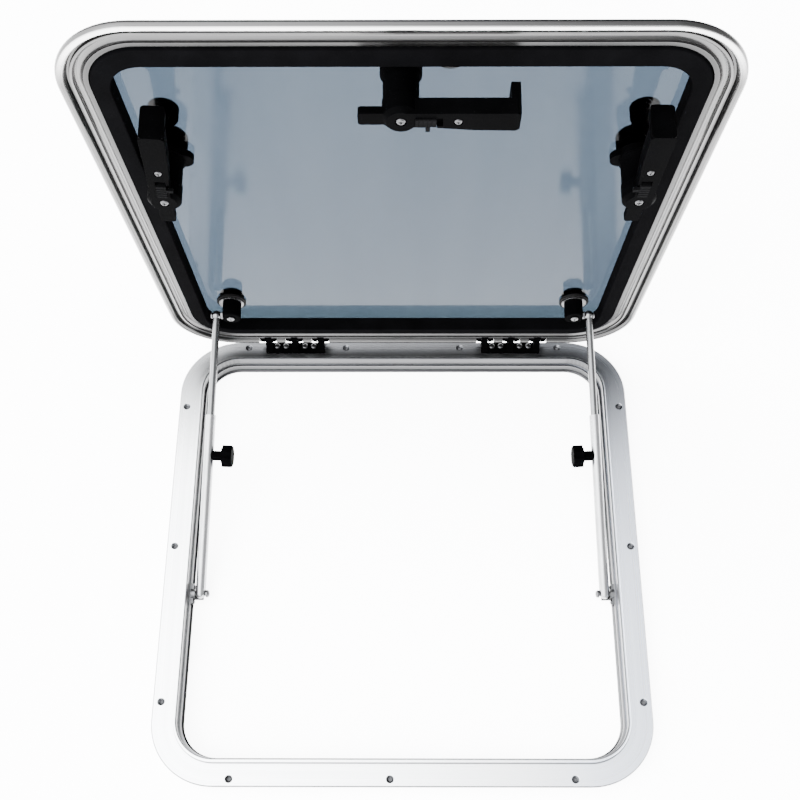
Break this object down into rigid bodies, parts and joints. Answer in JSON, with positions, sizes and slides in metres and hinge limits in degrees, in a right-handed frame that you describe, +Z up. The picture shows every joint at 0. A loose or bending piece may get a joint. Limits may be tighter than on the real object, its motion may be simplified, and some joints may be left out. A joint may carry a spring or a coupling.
{
  "type": "boat deck hatch",
  "caption": "Square aluminium deck hatch with a tinted lid held open on clamped telescopic stays, edge hinges and turning lever handles.",
  "frame": {"origin": "centre of the deck opening on the deck plane, which is the underside of the base flange", "axes": "+Z up out of the deck, +Y towards the hinges, +X to the right when facing the hinges; the lid is at rest standing open"},
  "size_m": [0.6, 0.6106, 0.6291],
  "materials": {
    "base_aluminium": "satin anodised extrusion with fine lines along its length",
    "lid_aluminium": "bright anodised extrusion",
    "bracket_aluminium": "satin anodised",
    "stay_aluminium": "satin anodised tube",
    "stay_steel": "polished stainless rod",
    "weld": "ground joint filler",
    "stainless": "polished stainless",
    "black_nylon": "matt moulded nylon",
    "handle_nylon": "satin moulded nylon",
    "catch_nylon": "matt moulded nylon",
    "seal_rubber": "matt",
    "sealant": "matt",
    "tinted_acrylic": "smoke-blue acrylic, polished"
  },
  "bodies": {
    "base": {"base_frame": "base_aluminium", "base_splice": "weld", "left_hinge_base": "black_nylon", "right_hinge_base": "black_nylon", "hinge_base_screws": "stainless", "left_stay_bracket": "bracket_aluminium", "right_stay_bracket": "bracket_aluminium", "bracket_screws": "stainless", "stay_pivot_bolts": "stainless"},
    "lid": {"lid_frame": "lid_aluminium", "lid_splice": "weld", "lid_seal": "seal_rubber", "pane_sealant": "sealant", "pane": "tinted_acrylic", "left_hinge_lid": "black_nylon", "right_hinge_lid": "black_nylon", "hinge_pins": "stainless", "hinge_lid_screws": "stainless", "left_stay_anchor": "black_nylon", "right_stay_anchor": "black_nylon", "anchor_washers": "sealant", "anchor_rings": "stainless", "anchor_screws": "stainless", "anchor_caps": "stainless", "centre_escutcheon": "handle_nylon", "left_escutcheon": "handle_nylon", "right_escutcheon": "handle_nylon", "centre_sleeve": "handle_nylon", "left_sleeve": "handle_nylon", "right_sleeve": "handle_nylon", "handle_seals": "sealant"},
    "centre_handle": {"centre_outer_lever": "handle_nylon", "centre_spindle": "stainless", "centre_inner_lever": "handle_nylon", "centre_lever_screws": "stainless"},
    "centre_latch": {"centre_catch": "catch_nylon"},
    "left_handle": {"left_outer_lever": "handle_nylon", "left_spindle": "stainless", "left_inner_lever": "handle_nylon", "left_lever_screws": "stainless"},
    "left_latch": {"left_catch": "catch_nylon"},
    "right_handle": {"right_outer_lever": "handle_nylon", "right_spindle": "stainless", "right_inner_lever": "handle_nylon", "right_lever_screws": "stainless"},
    "right_latch": {"right_catch": "catch_nylon"},
    "left_tube": {"left_stay_tube": "stay_aluminium", "left_clamp_boss": "black_nylon"},
    "left_rod": {"left_stay_rod": "stay_steel", "left_stay_bolt": "stainless"},
    "left_clamp": {"left_knob": "black_nylon", "left_knob_stud": "stainless"},
    "right_tube": {"right_stay_tube": "stay_aluminium", "right_clamp_boss": "black_nylon"},
    "right_rod": {"right_stay_rod": "stay_steel", "right_stay_bolt": "stainless"},
    "right_clamp": {"right_knob": "black_nylon", "right_knob_stud": "stainless"}
  },
  "joints": [
    {"name": "lid_hinge", "type": "hinge", "parent": "base", "child": "lid", "pos_m": [0, 0.298, 0.0215], "axis": [1, 0, 0], "range_deg": [0, 83]},
    {"name": "left_stay_pivot", "type": "hinge", "parent": "base", "child": "left_tube", "pos_m": [-0.254, -0.061, -0.0045], "axis": [-1, 0, 0], "range_deg": [0, 16.96]},
    {"name": "left_rod_slide", "type": "slide", "parent": "left_tube", "child": "left_rod", "axis": [-0.0509, -0.9418, -0.3323], "range_m": [0, 0.08819]},
    {"name": "left_knob_turn", "type": "hinge", "parent": "left_tube", "child": "left_clamp", "pos_m": [-0.2451, 0.10382, 0.05365], "axis": [0.9987, -0.048, -0.0169], "range_deg": [0, 180]},
    {"name": "right_stay_pivot", "type": "hinge", "parent": "base", "child": "right_tube", "pos_m": [0.254, -0.061, -0.0045], "axis": [-1, 0, 0], "range_deg": [0, 16.96]},
    {"name": "right_rod_slide", "type": "slide", "parent": "right_tube", "child": "right_rod", "axis": [0.0509, -0.9418, -0.3323], "range_m": [0, 0.08819]},
    {"name": "right_knob_turn", "type": "hinge", "parent": "right_tube", "child": "right_clamp", "pos_m": [0.2451, 0.10382, 0.05365], "axis": [-0.9987, -0.048, -0.0169], "range_deg": [0, 180]},
    {"name": "centre_handle_turn", "type": "hinge", "parent": "lid", "child": "centre_handle", "pos_m": [0, 0.23365, 0.54556], "axis": [0, 0.9925, 0.1219], "range_deg": [0, 90]},
    {"name": "centre_catch_slide", "type": "slide", "parent": "centre_handle", "child": "centre_latch", "axis": [1, 0, 0], "range_m": [0, 0.0053]},
    {"name": "left_handle_turn", "type": "hinge", "parent": "lid", "child": "left_handle", "pos_m": [-0.23, 0.24876, 0.42249], "axis": [0, 0.9925, 0.1219], "range_deg": [0, 84]},
    {"name": "left_catch_slide", "type": "slide", "parent": "left_handle", "child": "left_latch", "axis": [0.1045, -0.1212, 0.9871], "range_m": [0, 0.0053]},
    {"name": "right_handle_turn", "type": "hinge", "parent": "lid", "child": "right_handle", "pos_m": [0.23, 0.24876, 0.42249], "axis": [0, -0.9925, -0.1219], "range_deg": [0, 90]},
    {"name": "right_catch_slide", "type": "slide", "parent": "right_handle", "child": "right_latch", "axis": [0, -0.1219, 0.9925], "range_m": [0, 0.0053]}
  ],
  "couplings": [
    {"joint": "left_stay_pivot", "follows": "lid_hinge", "ratio": 0.20419},
    {"joint": "left_rod_slide", "follows": "lid_hinge", "m_per_rad": 0.060845},
    {"joint": "right_stay_pivot", "follows": "lid_hinge", "ratio": 0.20419},
    {"joint": "right_rod_slide", "follows": "lid_hinge", "m_per_rad": 0.060845}
  ]
}
